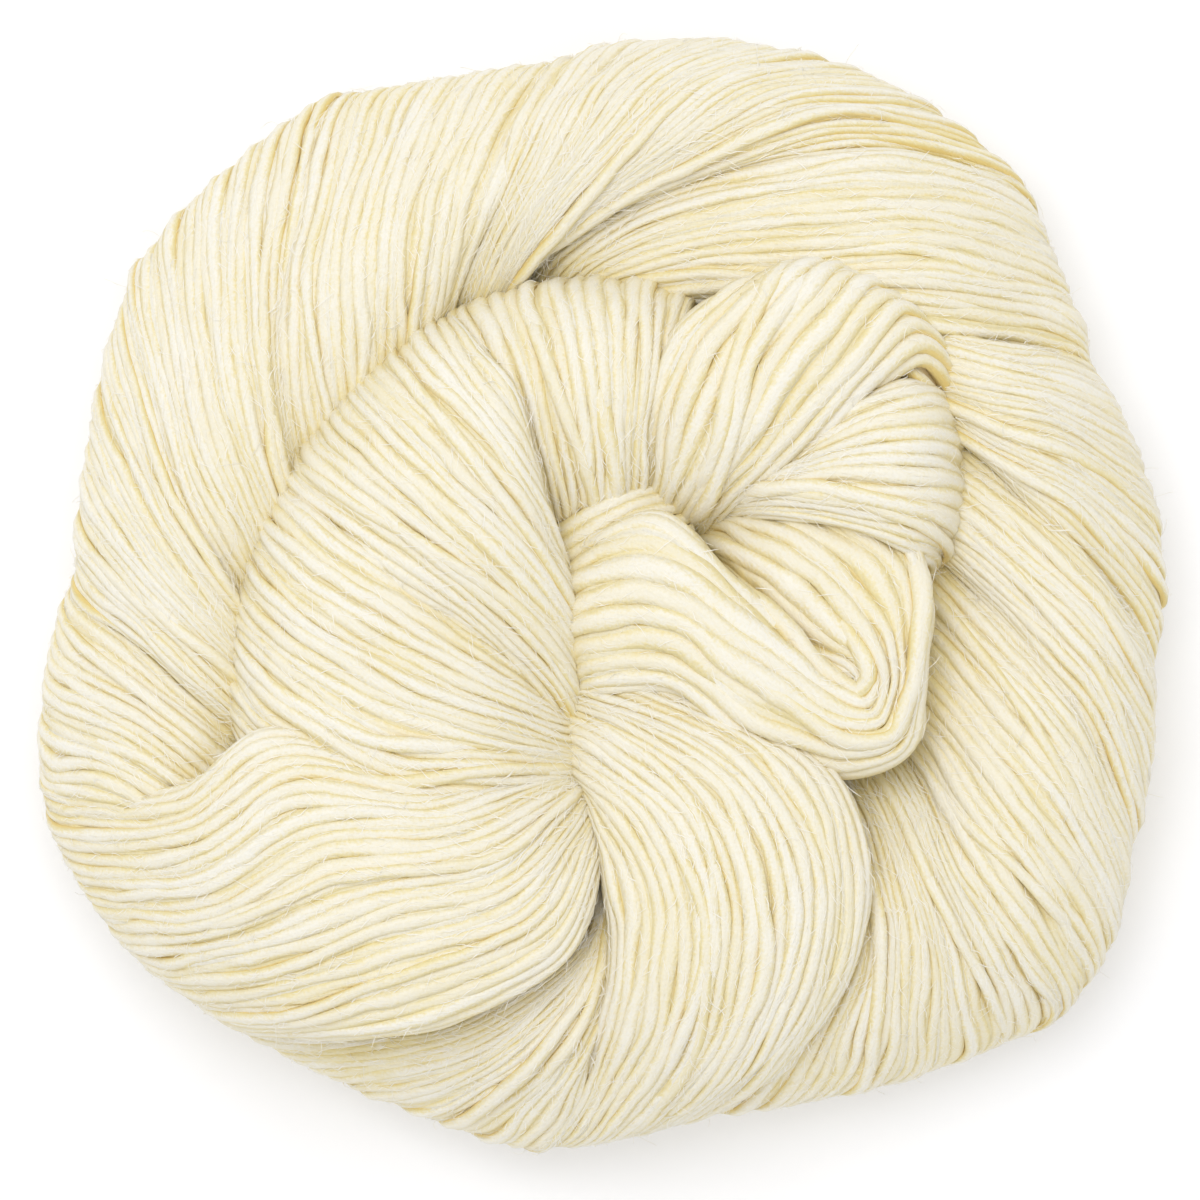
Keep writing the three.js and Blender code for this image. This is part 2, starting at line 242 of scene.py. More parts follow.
# %% The hidden ways
# A way back has the turn's centre and then its steps: a share of the way in to that centre, degrees
# clockwise, and the height of the fold's edges in millimetres. None means that it lies on the floor.
WAY_BACK = {
    "outer": ((0, 0), [(0.05, 5, 7), (0.18, 12, None), (0.4, 21, None), (0.53, 27, 9), (0.62, 31, 15)]),
    "inner": ((5.5, 5.5), [(0.1, 6, 17.5), (0.35, 16, 10.5), (0.75, 30, 10)]),
    "none": ((0, 0), []),
}
PRESSED = 0.8  # how far the underside is pressed flat by the hank's weight, millimetres
WAY_IN = [(1.4, 16), (0.6, 5)]  # how far back, in distances of two rows, and how much lower, millimetres
LOWEST_START = 13  # how low a crest may lie where its fold begins, millimetres
FOLD_BACK = 12  # how deep a fold's body reaches behind its face, millimetres
FOLD_OVERLAP = 1.0  # how far a fold is pressed into each neighbour, millimetres
print("hidden sections of an outer fold:", len(WAY_IN) + len(WAY_BACK["outer"][1]))

# %% [markdown]
# ## A smooth surface through the sections
#
# The strands of a fold never cross its face: each keeps its share of the width from the first section
# to the last. So a strand is found by running a smooth curve through the same place of every section.
# A place across a fold is given as an angle on its rounded section: 0 at the first strand, 90 at the
# crest, 180 at the last strand. Angles below 0 and above 180 lie on the fold's sides, in the gaps.

# %% Sections of a fold
def turned_in(point, centre, inward, turned):
    """A point moved in towards the centre of its turn and turned clockwise about it."""
    dx, dy = (np.array(point) - centre) * (1 - inward)
    angle = math.radians(turned)
    cosine, sine = math.cos(angle), math.sin(angle)
    return centre[0] + dx * cosine + dy * sine, centre[1] - dx * sine + dy * cosine


def fold_sections(turn, rows):
    """All the sections of a fold: its way in, its rows, and the way back in under the hank."""
    first, second, last = np.array(rows[0], float), np.array(rows[1], float), rows[-1]
    tucked = []
    for reach, drop in WAY_IN:
        section = first - reach * (second - first)
        section[4:] = max(first[4] - drop, min(first[4], LOWEST_START)), first[5], 0
        tucked.append(section)
    centre, steps = WAY_BACK[turn]
    under = []
    for inward, turned, height in steps:
        near = turned_in(last[0:2], centre, inward, turned)
        far = turned_in(last[2:4], centre, inward, turned)
        edge = last[5] - PRESSED if height is None else height
        under.append((*near, *far, edge + last[5], last[5], last[6] * (1 - inward)))
    return np.array([*tucked, *rows, *under], float)


def through(points, places):
    """A smooth curve through the given points, read at places counted in points."""
    ends = np.vstack([2 * points[0] - points[1], points, 2 * points[-1] - points[-2]])
    step = np.minimum(places.astype(int), len(points) - 2)
    f = (places - step)[:, None]
    before, start, end, after = ends[step], ends[step + 1], ends[step + 2], ends[step + 3]
    bend = 2 * before - 5 * start + 4 * end - after
    twist = 3 * start - before - 3 * end + after
    return 0.5 * (2 * start + (end - before) * f + bend * f**2 + twist * f**3)


def unit(vectors):
    """The same vectors at length 1."""
    return vectors / np.maximum(np.linalg.norm(vectors, axis=-1, keepdims=True), 1e-9)


# %% [markdown]
# ## Small irregularities
#
# Nothing on a hank that was wound by hand is quite even. Strands that lie side by side wave together,
# and each one also wanders by itself and has thick and thin places. One helper gives all this: a smooth
# random line. The random numbers start from a fixed seed, so every run lays the same hank.

# %% Wandering lines
SEED = 7
SPARE_KNOTS = 6  # knots of a random line beyond those that its length needs
rng = np.random.default_rng(SEED)


def wander(length, spacing):
    """A smooth random line between about -1 and 1 that turns every `spacing` of the length."""
    knots = rng.uniform(-1, 1, int(length[-1] / spacing) + SPARE_KNOTS)
    return through(knots[:, None], length / spacing + rng.uniform(0, 1))[:, 0]


def wanders(length, waves):
    """The sum of several such lines, one for each spacing and reach."""
    return sum(reach * wander(length, spacing) for spacing, reach in waves)


def length_along(points):
    """How far along a line each of its points lies."""
    steps = np.linalg.norm(np.diff(points, axis=0), axis=1)
    return np.concatenate([[0], np.cumsum(steps)])


print("random numbers start from seed", SEED)

# %% [markdown]
# ## A fold and its face
#
# A fold is an arch. At each place along it, its section rises from the first strand over the crest to
# the last one. The class Fold reads it at many places and adds the waves that neighbouring strands
# share. It also marks what can be seen, and where the fold comes out from beside the one over it.

# %% The face of a fold
SAMPLES = 160  # how many places along a fold are read
WAVES = [(24, 10, 0.5), (9, 4, 0.5)]  # length, width and reach of the shared waves, millimetres
TUCKED_END = 0.5  # where a fold is free of the one over it, in rows past its first row
TUCKED_FADE = 0.6  # over how many rows it comes free
FACE_START = 0.5  # how far before its first row a fold is seen, in rows
FACE_END = 0.6  # how far past its last row a fold is seen, in rows
WIDE_PLACE = 85  # the strands are spread where this percentage of the face is narrower
ARC_STEPS = 400  # in how many places the length round a section is measured


class Fold:
    """One fold of the rope, read at many places along it."""

    def __init__(self, turn, rows, samples=SAMPLES):
        sections = fold_sections(turn, rows)
        places = np.linspace(0, len(sections) - 1, samples)
        smooth = through(sections, places)
        edge = smooth[:, 4] - smooth[:, 5]
        self.first = np.column_stack([smooth[:, 0:2] - COIL_MIDDLE, edge])
        self.across = np.column_stack([smooth[:, 2:4] - COIL_MIDDLE, edge]) - self.first
        self.side = unit(self.across)
        self.first = self.first - FOLD_OVERLAP * self.side
        self.across = self.across + 2 * FOLD_OVERLAP * self.side
        ahead = unit(np.gradient(self.first + self.across / 2, axis=0))
        self.out = unit(np.cross(self.side, ahead))
        self.bulge, self.bow = smooth[:, 5], smooth[:, 6]
        self.tucked = np.clip((len(WAY_IN) + TUCKED_END - places) / TUCKED_FADE, 0, 1)
        length = length_along(self.first + self.across / 2)
        width = np.linalg.norm(self.across, axis=1).max()
        self.waves = [
            reach * np.array([wander(length, spacing) for _ in range(int(width / apart) + 2)])
            for spacing, apart, reach in WAVES
        ]
        last_row = len(WAY_IN) + len(rows) - 1
        self.face = (places >= len(WAY_IN) - FACE_START) & (places <= last_row + FACE_END)

    def at(self, degrees):
        """Points and outward directions along the fold at one angle of its section."""
        angle = math.radians(degrees)
        share = (1 - math.cos(angle)) / 2
        depth = self.bulge if math.sin(angle) >= 0 else np.full_like(self.bulge, FOLD_BACK)
        bowed = (self.bow * 4 * share * (1 - share))[:, None]
        forward = np.column_stack([-self.side[:, 1], self.side[:, 0], np.zeros(len(self.side))])
        points = self.first + self.across * share + forward * bowed
        points = points + self.out * (depth * math.sin(angle))[:, None]
        wave = sum(through(lines, np.array([share * (len(lines) - 1)]))[0] for lines in self.waves)
        points = points + self.side * wave[:, None]
        half = np.linalg.norm(self.across, axis=1)[:, None] / 2
        outward = -math.cos(angle) / half * self.side + math.sin(angle) / depth[:, None] * self.out
        return points, unit(outward)

    def spread(self, pitch):
        """Angles that lie a strand's pitch apart where the fold is wide."""
        width = np.linalg.norm(self.across, axis=1)
        wide = np.argmin(abs(width - np.percentile(width[self.face], WIDE_PLACE)))
        angles = np.linspace(0, np.pi, ARC_STEPS)
        x = -np.cos(angles) * width[wide] / 2
        y = np.sin(angles) * self.bulge[wide]
        length = np.concatenate([[0], np.cumsum(np.hypot(np.diff(x), np.diff(y)))])
        count = max(3, round(length[-1] / pitch) + 1)
        return np.degrees(np.interp(np.linspace(0, length[-1], count), length, angles))


folds = {name: Fold(turn, rows) for name, (turn, rows) in FOLDS.items()}
print("highest crest:", round(max(fold.at(90)[0][:, 2].max() for fold in folds.values()), 1), "mm")

# %% [markdown]
# ## Strands as tubes
#
# A strand could be a curve object with a round bevel, but hundreds of them would be slow, and every one
# would be perfectly round. Here each strand is a tube of rings, built from arrays. Softly spun wool has
# thick and thin places, so each ring gets its own width. The strand also wanders a little sideways and
# in depth, as threads do that were wound by hand. Where the fold narrows, the strands are pressed
# together, so the rings are narrow there and the tubes sink into each other.
#
# The class Strand follows one line and turns it into rings.

# %% Sizes of a strand
STRAND_HALF = 1.02  # half the thickness of a packed strand, millimetres
RING_GAP = 1.1  # distance between two rings where the strand shows, millimetres
HIDDEN_RING_GAP = 3.5  # the same under the hank
ROOM = (0.5, 2.4)  # the least and the most room that a strand may wander in, millimetres
UNRULY = (0.6, 1.4)  # how much less or more than usual one strand wanders
ASIDE_WAVES = [(20, 0.12), (9, 0.14), (3.4, 0.06)]  # spacing in millimetres, reach as a share of the room
DEPTH_WAVES = [(25, 0.16), (8, 0.1)]  # the same for wandering up and down
SUNK = 0.1  # how far a strand may lie below its neighbours, as a share of the room
SUNK_SHADE = 1.2  # how much painted golden shade a sunk strand gets
SLUB_WAVES = [(15, 0.13), (3.4, 0.1)]  # thick and thin places, reach as a share of the thickness
SLUB_DEPTH = 0.6  # how much of them shows in the depth
PRESSED_WIDTH = (0.42, 1.12)  # how narrow and how wide a strand is pressed by its neighbours
SPREAD = 1.18  # how much wider than its place a strand lies
THICKNESS = (0.94, 1.1)  # how much thinner or thicker than usual one strand is
FLAT, ROUNDER = 0.45, 0.43  # depth of a strand that is pressed flat, and what room adds to it
print("strand:", 2 * STRAND_HALF, "mm thick")


# %% One strand
class Strand:
    """The rings of one strand: middles, outward and sideways directions, and half sizes."""

    def __init__(self, points, outward, pitch, shown, half, painted_shade, loose=1.0, gap=RING_GAP):
        length = length_along(points)
        ring_gap = np.where(shown, gap, np.maximum(gap, HIDDEN_RING_GAP))
        rings = np.concatenate([[0], np.cumsum(np.diff(length) / ring_gap[1:])])
        at = np.interp(np.linspace(0, rings[-1], int(rings[-1]) + 2), rings, length)
        middle, outward = (
            np.column_stack([np.interp(at, length, column) for column in values.T])
            for values in (points, outward)
        )
        pitch = np.interp(at, length, pitch)
        sideways = unit(np.cross(unit(np.gradient(middle, axis=0)), outward))
        room = np.clip(pitch, *ROOM) * loose * rng.uniform(*UNRULY)
        aside = wanders(at, ASIDE_WAVES)
        deep = wanders(at, DEPTH_WAVES) - rng.uniform(0, SUNK)
        self.length = at
        self.middle = middle + sideways * (aside * room)[:, None] + outward * (deep * room)[:, None]
        ahead = unit(np.gradient(self.middle, axis=0))
        outward = unit(outward - ahead * (outward * ahead).sum(1, keepdims=True))
        self.outward, self.sideways = outward, np.cross(ahead, outward)
        slub = wanders(at, SLUB_WAVES)
        pressed = np.clip(pitch / (2 * half), *PRESSED_WIDTH)
        self.half_wide = half * SPREAD * pressed * (1 + slub) * rng.uniform(*THICKNESS)
        self.half_deep = half * (FLAT + ROUNDER * np.minimum(pressed, 1)) * (1 + SLUB_DEPTH * slub)
        # Painted shade: a strand that lies sunk below its neighbours is painted more golden.
        self.painted_shade = np.interp(at, length, painted_shade) + np.maximum(-deep, 0) * SUNK_SHADE
        self.tone = rng.uniform()
        self.middle[:, 2] = np.maximum(self.middle[:, 2], self.half_deep)

    def ring_points(self, sides):
        """Corner points ring by ring. The first corner of a ring lies on the hidden underside."""
        turn = np.arange(sides) * 2 * np.pi / sides
        out = -np.cos(turn)[None, :, None] * (self.outward * self.half_deep[:, None])[:, None, :]
        aside = np.sin(turn)[None, :, None] * (self.sideways * self.half_wide[:, None])[:, None, :]
        return (self.middle[:, None, :] + out + aside).reshape(-1, 3)


# %% [markdown]
# ## The strands of a fold
#
# Over the face of a fold the strands lie at even distances. A few more go round each side, where the
# eye looks in between two folds. They turn their faces to the front, because the golden shade painted in
# the creases beside them would otherwise show as long lines. Beside a fold that lies over them, and where
# a lower strand stays down, the wool is painted golden as shade. Here and there a strand strays: it comes
# up between the others, crosses a few of them and goes down again.

# %% Strands side by side
TUCKED_SHADE = 0.5  # how much painted golden shade the wool gets beside a fold that lies over it
TUCKED_LOWEST = 18  # how low the hidden starts of the strands may lie, millimetres
SIDE_TILT = 1.2  # how far the strands at a fold's sides turn their faces to the front
RISE_SPACING = 11  # distance between the places where a strand of a lower layer rises, millimetres
RISE_SHARE = 1.4  # more than 1 keeps it up for longer
LOWER_SHADE = 0.4  # how much painted golden shade it gets where it stays down


def strands_of(fold, pitch, half, inset, side_strands=2, shift=0.0, rise=0.0, loose=1.0, gap=RING_GAP):
    """The strands over a fold's face and round its two sides, at a depth below its surface.

    The strands of a lower layer rise here and there by up to `rise`, which fills a crease.
    """
    angles = fold.spread(pitch)
    if shift:
        angles = angles[:-1] + shift * np.diff(angles)
    step = math.degrees(pitch / FOLD_BACK)
    before = [-step * number for number in range(side_strands, 0, -1)]
    after = [180 + step * number for number in range(1, side_strands + 1)]
    angles = [*before, *angles, *after]
    found = [fold.at(angle) for angle in angles]
    lines = np.array([points - inset * outward for points, outward in found])
    gaps = np.linalg.norm(np.diff(lines, axis=0), axis=2)
    room = np.vstack([gaps[:1], (gaps[:-1] + gaps[1:]) / 2, gaps[-1:]])
    length = length_along(fold.first + fold.across / 2)
    strands = []
    for angle, line, (_, outward), space in zip(angles, lines, found, room):
        risen = np.ones(len(line))
        if rise:
            risen = np.clip(wander(length, RISE_SPACING) * RISE_SHARE, 0, 1)
        line = line + outward * (rise * risen)[:, None]
        line[:, 2] = np.maximum(line[:, 2], TUCKED_LOWEST * fold.tucked)
        # Painted shade: golden beside a fold that lies over this one, and where a lower strand stays down.
        painted_shade = TUCKED_SHADE * fold.tucked + LOWER_SHADE * (1 - risen)
        facing = unit(outward + SIDE_TILT * (1 - abs(math.sin(math.radians(angle)))) * fold.out)
        strands.append(Strand(line, facing, space, fold.face, half, painted_shade, loose, gap))
    return strands


# %% A strand that strays
STRAY_DRIFT = (1.5, 3.5)  # how many strands it crosses
STRAY_ANGLES = (45, 135)  # where on the section it does so, degrees
STRAY_SPAN = ([0.15, 0.6], [0.4, 0.95])  # its earliest start and end, and its latest, in shares of the face
STRAY_DIVE = 6  # how many places past its span it goes on, below the others
STRAY_RISE = ([-6, 2, 8], [-2.4, -0.9, -0.35])  # places inside its span, height in half thicknesses
STRAY_ROOM = 1.9  # room that it has, in half thicknesses


def stray_strand(fold, pitch, half):
    """A strand that comes up between the others, crosses a few of them and goes down again."""
    width = np.linalg.norm(fold.across, axis=1)[fold.face].max()
    drift = math.degrees(rng.choice([-1, 1]) * rng.uniform(*STRAY_DRIFT) * pitch / (width / 2))
    angle = rng.uniform(*STRAY_ANGLES) - drift / 2
    shown = np.flatnonzero(fold.face)
    start, end = shown[0] + np.array(rng.uniform(*STRAY_SPAN) * len(shown)).astype(int)
    share = np.clip((np.arange(len(fold.face)) - start) / (end - start), 0, 1)
    share = (share**2 * (3 - 2 * share))[:, None]
    (here, here_out), (there, there_out) = fold.at(angle), fold.at(angle + drift)
    points, outward = here * (1 - share) + there * share, unit(here_out + there_out)
    inside = np.minimum(np.arange(len(points)) - start, end - np.arange(len(points)))
    rise = half * np.interp(inside, *STRAY_RISE)
    kept = slice(max(start - STRAY_DIVE, 0), end + STRAY_DIVE)
    points = (points + outward * rise[:, None])[kept]
    pitch = np.full(len(points), STRAY_ROOM * half)
    return Strand(points, outward[kept], pitch, fold.face[kept], half, np.zeros(len(points)))


# %% [markdown]
# ## From strands to a mesh
#
# All the strands of a turn become one mesh, so that a few hundred strands are only a few pieces. Two
# maps go with it. The map named strand says how far round and how far along its strand a point lies,
# which the wool material needs for its fibres and for the shade that it paints in the creases. The other
# one lays each strand out as its own strip, so that no two strands share a place in a picture. Each point
# also carries its painted shade and its strand's tone. A mesh is made from arrays at once, because adding
# a few hundred tubes one by one would be slow.

# %% Faces and maps
STRIP_SHAPE = 24  # a strip is about this many times as long as wide
STRIP_EDGE = (0.04, 0.02)  # the free edge round it, as a share of its width and length
CELL_EDGE = 0.1  # the same for a small piece in its own cell


def strip_place(index, count, around, along):
    """Lays strip number `index` of `count` in a unit square, in rows of equal strips."""
    rows = max(1, round(math.sqrt(count / STRIP_SHAPE)))
    columns = math.ceil(count / rows)
    side, end = STRIP_EDGE
    u = (index % columns + side + (1 - 2 * side) * around) / columns
    v = (index // columns + end + (1 - 2 * end) * along) / rows
    return np.stack([u, v], axis=-1)


def cell_places(count, across, along):
    """Lays the corners of each of `count` alike pieces in a cell of its own in a unit square."""
    cells = math.ceil(math.sqrt(count))
    number = np.arange(count)[:, None]
    u = (number % cells + CELL_EDGE + (1 - 2 * CELL_EDGE) * across) / cells
    v = (number // cells + CELL_EDGE + (1 - 2 * CELL_EDGE) * along) / cells
    return np.stack([u, v], axis=-1)


def closed_tube(rings, sides, order=1):
    """The corners of a tube's quads and two ends, and how far round and along each corner lies.

    The share round the tube goes from 0 to 1, and the place along it is counted in rings. An order of
    -1 turns the faces over.
    """
    ring, side = np.divmod(np.arange((rings - 1) * sides)[:, None], sides)
    ring = ring + np.array([0, 1, 1, 0])[::order]
    side = side + np.array([0, 0, 1, 1])[::order]
    near, far = np.arange(sides)[::order], np.arange(sides)[::-order]
    ends = np.array([near, (rings - 1) * sides + far])
    around = np.concatenate([side.ravel(), near, far]) / sides
    along = np.concatenate([ring.ravel(), np.repeat([0, rings - 1], sides)])
    return ring * sides + side % sides, ends, around, along


# %% One piece from many strands
def new_piece(name, points, faces, maps, values):
    """A mesh object from arrays: points in millimetres, faces, corner maps and point values."""
    mesh = bpy.data.meshes.new(name)
    mesh.from_pydata(points * MM, [], faces)
    for map_name, places in maps.items():
        mesh.uv_layers.new(name=map_name).data.foreach_set("uv", places.astype(np.float32).ravel())
    for value_name, numbers in values.items():
        layer = mesh.attributes.new(value_name, "FLOAT", "POINT")
        layer.data.foreach_set("value", numbers.astype(np.float32))
    mesh.shade_smooth()
    mesh.update()
    piece = bpy.data.objects.new(name, mesh)
    bpy.context.collection.objects.link(piece)
    triangles = sum(len(face) - 2 for face in faces)
    print(f"{name}: {triangles} triangles")
    return piece


def strand_piece(name, strands, sides):
    """One piece from many strands."""
    points, faces, strand_map, strip_map, depth, tone = [], [], [], [], [], []
    start = 0
    for index, strand in enumerate(strands):
        rings = len(strand.middle)
        quads, ends, around, ring = closed_tube(rings, sides)
        faces += (quads + start).tolist() + (ends + start).tolist()
        along = strand.length[ring]
        strand_map.append(np.column_stack([around + index, along]))
        strip_map.append(strip_place(index, len(strands), around, along / along[-1]))
        points.append(strand.ring_points(sides))
        depth.append(np.repeat(strand.painted_shade, sides))
        tone.append(np.full(rings * sides, strand.tone))
        start += rings * sides
    maps = {"strand": np.vstack(strand_map), "OFBake": np.vstack(strip_map)}
    values = {"painted_shade": np.concatenate(depth), "tone": np.concatenate(tone)}
    return new_piece(name, np.vstack(points), faces, maps, values)


# %% [markdown]
# ## The strands on top
#
# The outer turn is tightly twisted, so its strands lie about 2 mm apart. The inner turn is looser, and
# the hairpin at its end and the fan beside it are the loosest of all: their strands are thick and stand
# apart. Where a fold stands free, more strands go round its sides. The outer turn is made in four
# pieces. The fifth holds the inner turn, the end loop and a small bundle that shows low down behind it.

# %% Lay the top strands
PITCH = 1.98  # from one strand to the next, packed
LOOSE_PITCH = {
    "inner top band": 2.4, "inner top right fan": 3.0, "inner right fan": 2.25, "end loop": 3.4,
}
THICK = {
    "inner top band": 1.18, "inner top right fan": 1.36, "inner right fan": 1.1, "end loop": 1.48,
}
SIDE_STRANDS = {  # on each side, where a fold stands free
    "end loop": 6, "bottom leaf": 5, "bottom right band": 4,
}
STRAYS = 2  # loose crossing strands to each fold
STRAY_HALF = 0.9  # their thickness, as a share of the others'
TOP_SIDES = 6  # of the tubes
TOP_PIECES = {
    "left_strands": ["left band, lowest", "left band, lower", "left band, upper", "left band, top"],
    "top_strands": ["top fan", "top right band", "right band, upper"],
    "right_strands": ["right band, lower", "lower right band", "bottom right band"],
    "bottom_strands": ["bottom leaf", "bottom fan, under", "bottom fan, over"],
    "inner_strands": [
        "inner left leaf", "inner upper leaf", "inner top band", "inner top right fan",
        "inner right fan", "end loop", "bundle",
    ],
}
BUNDLE = [  # the few strands that show low down behind the end loop, in the form of the folds' rows
    (-9.5, 11.5, -4, -1, 31, 3, 0), (-5, 14.2, 1, 2.5, 35, 3, 0),
    (1, 16.8, 6.5, 5.5, 36, 3, 0), (8.5, 19, 13, 8, 32, 3, 0),
]
FEW_SAMPLES = 60  # how many places along a short fold are read
top_strands = {}
for name, fold in folds.items():
    half, pitch = STRAND_HALF * THICK.get(name, 1.0), LOOSE_PITCH.get(name, PITCH)
    top_strands[name] = strands_of(fold, pitch, half, half, SIDE_STRANDS.get(name, 2))
    top_strands[name] += [stray_strand(fold, pitch, STRAY_HALF * half) for _ in range(STRAYS)]

bundle = Fold("none", BUNDLE, FEW_SAMPLES)
top_strands["bundle"] = strands_of(bundle, PITCH, STRAND_HALF, STRAND_HALF)
print("strands on top:", sum(len(strands) for strands in top_strands.values()))

# %% [markdown]
# ## Strands underneath
#
# Between two strands the eye looks down to the next layer. A second layer half a strand aside fills
# those gaps. Here and there it rises and fills a crease, as a strand does that swaps places with its
# neighbour. Elsewhere it shows only in glimpses, so its tubes have fewer sides and rings.

# %% Lay the second layer
UNDER_SHIFT = 0.5  # how far these strands lie aside, in strands
UNDER_INSET = 1.5  # how deep they lie below the face, in half thicknesses
UNDER_RISE = 0.25  # how far they rise in places, in half thicknesses
UNDER_LOOSE = 0.4  # how much they wander, as a share of the strands on top
UNDER_RING_GAP = 3.2  # millimetres
UNDER_SIDES = 4
under_strands = []
for name, fold in folds.items():
    half, pitch = STRAND_HALF * THICK.get(name, 1.0), LOOSE_PITCH.get(name, PITCH)
    under_strands += strands_of(
        fold, pitch, half, UNDER_INSET * half, 0, UNDER_SHIFT,
        rise=UNDER_RISE * half, loose=UNDER_LOOSE, gap=UNDER_RING_GAP,
    )
print("strands of the second layer:", len(under_strands))

# %% [markdown]
# ## Golden shade painted in the hollows
#
# Light that comes out of a hollow has passed through a lot of wool, and it comes out golden. A shader that
# scatters light inside the wool would show that, but takes too long. So that light and the shade of the
# hollows are painted: the height of each strand is compared with the mean height round it, in a grid of
# cells seen from above. The deeper a part lies, the higher is its painted shade value, which the wool
# material turns into a painted golden shade.

# %% Depth in the hollows
CELL = 2.0  # size of the cells in which heights are compared, millimetres
CELLS = 100  # how many there are in a row
CELL_REACH = 3  # how many cells to each side the mean height is taken over
HOLLOW_SHADE = 0.7  # how much painted golden shade a deep hollow gets
HOLLOW_DEPTH = (1.5, 8.5)  # how deep a strand lies where that begins and where it is full, millimetres
HIDDEN_DEPTH = (2.4, 8.4)  # the painted shade fades again where a strand lies this deep under another
EDGE_COVER = 0.6  # near the hank's edge it is gone where only this share of the cells round is covered


def cells_of(points):
    """The row and column of each point's cell."""
    return tuple(((points[:, :2] + CELLS * CELL / 2) / CELL).astype(int).T)


def sum_round(values):
    """The sum over the square of cells round each cell."""
    for axis in (0, 1):
        values = sum(np.roll(values, step, axis) for step in range(-CELL_REACH, CELL_REACH + 1))
    return values


def deepen(strands):
    """Paints golden shade on the parts of strands that lie in a hollow between higher folds."""
    heights = np.zeros((CELLS, CELLS))
    for strand in strands:
        np.maximum.at(heights, cells_of(strand.middle), strand.middle[:, 2])
    covered = sum_round((heights > 0).astype(float))
    mean = sum_round(heights) / np.maximum(covered, 1)
    share = covered / (2 * CELL_REACH + 1) ** 2
    inside = np.clip((share - EDGE_COVER) / (1 - EDGE_COVER), 0, 1)
    for strand in strands:
        cells, height = cells_of(strand.middle), strand.middle[:, 2]
        depth = np.interp(mean[cells] - height, HOLLOW_DEPTH, (0, 1))
        on_top = np.interp(heights[cells] - height, HIDDEN_DEPTH, (1, 0))
        strand.painted_shade = strand.painted_shade + HOLLOW_SHADE * depth * on_top * inside[cells]


all_strands = [strand for strands in top_strands.values() for strand in strands]
deepen(under_strands + all_strands)
# Rings whose painted golden shade is deep.
golden = sum(int((strand.painted_shade > HOLLOW_SHADE).sum()) for strand in all_strands)
print("rings with a deep golden tint:", golden)

# %% Make the pieces
strand_pieces = [
    strand_piece(piece, [strand for name in names for strand in top_strands[name]], TOP_SIDES)
    for piece, names in TOP_PIECES.items()
]
under_layer = strand_piece("under_strands", under_strands, UNDER_SIDES)

# %% [markdown]
# ## Bodies inside the folds
#
# The hank is strands all through, but no one sees past the second layer. Inside it each fold gets a
# plain rounded body, a little smaller than the fold, so that no light comes through the hank. Its colour
# is painted shade: golden and darker than the strands, as the inside of the hank looks in shade.

# %% Fill the folds
BODY_SIDES = 14
BODY_STEP = 8  # how many places along the fold lie between two rings
BODY_INSET = 2.8  # how far the body lies below the fold's face, millimetres
BODY_WIDTH = 0.92  # as a share of the fold's width
BODY_DEPTH = 0.5  # as a share of the fold's depth
BODY_LOWEST = ([30, 37, 48], [18, 13, 4])  # radius, and how low the bodies reach there, millimetres


def fold_body(fold):
    """The corners of a body inside a fold, from rings round its section."""
    turn = np.arange(BODY_SIDES) * 2 * np.pi / BODY_SIDES
    rows = np.arange(0, len(fold.first), BODY_STEP)
    share = (1 - BODY_WIDTH * np.cos(turn)) / 2
    height = np.where(np.sin(turn) > 0, fold.bulge[rows, None], BODY_DEPTH * FOLD_BACK)
    rise = height * np.sin(turn) - BODY_INSET
    points = fold.first[rows, None] + fold.across[rows, None] * share[None, :, None]
    points = points + fold.out[rows, None] * rise[:, :, None]
    radius = np.hypot(points[:, :, 0], points[:, :, 1])
    points[:, :, 2] = np.maximum(points[:, :, 2], np.interp(radius, *BODY_LOWEST))
    return points


body_points, body_faces, body_places, start = [], [], [], 0
for index, fold in enumerate(folds.values()):
    points = fold_body(fold)
    quads, ends, around, along = closed_tube(len(points), BODY_SIDES, order=-1)
    body_faces += (quads + start).tolist() + (ends + start).tolist()
    body_places.append(strip_place(index, len(folds), around, along / along[-1]))
    body_points.append(points.reshape(-1, 3))
    start += len(points) * BODY_SIDES
bodies = new_piece(
    "packed_folds", np.vstack(body_points), body_faces, {"OFBake": np.vstack(body_places)}, {}
)

# %% [markdown]
# ## The underside
#
# From below, the middle of the outer turn is closed by the rope's inner turn. Nobody sees it in the
# photograph, so it is finished plainly: seven folds of strands that run outward in the same sense as
# those on top. They are written by radius and angle, because they are all alike. A flat rounded body
# above them closes the middle of the hank, where it never shows.

# %% Strands of the underside
PETALS = 7
PETAL_SIDES = 5  # of the tubes
PETAL_RING_GAP = 3.0  # millimetres
PETAL_SECTIONS = [  # radius, degrees clockwise, height of the edges, bulge
    (1.5, -3, 9, 1), (15, 16, 9.5, 2.5), (27, 32, 9, 3), (37, 45, 10.5, 3), (44, 54, 14, 2),
]


def petal_rows(number):
    """A fold's rows for one of the folds that close the middle from below."""
    rows = []
    for radius, clockwise, height, bulge in PETAL_SECTIONS:
        start = math.radians(360 * number / PETALS - clockwise)
        end = math.radians(360 * (number + 1) / PETALS - clockwise)
        first = COIL_MIDDLE + radius * np.array([math.cos(start), math.sin(start)])
        last = COIL_MIDDLE + radius * np.array([math.cos(end), math.sin(end)])
        rows.append((*first, *last, height + bulge, bulge, 0))
    return rows


petal_strands = []
for number in range(PETALS):
    petal = Fold("none", petal_rows(number), FEW_SAMPLES)
    petal.tucked[:] = 0  # its start shows, from below
    petal_strands += strands_of(petal, PITCH, STRAND_HALF, 0, 0, gap=PETAL_RING_GAP)
underside = strand_piece("underside_strands", petal_strands, PETAL_SIDES)

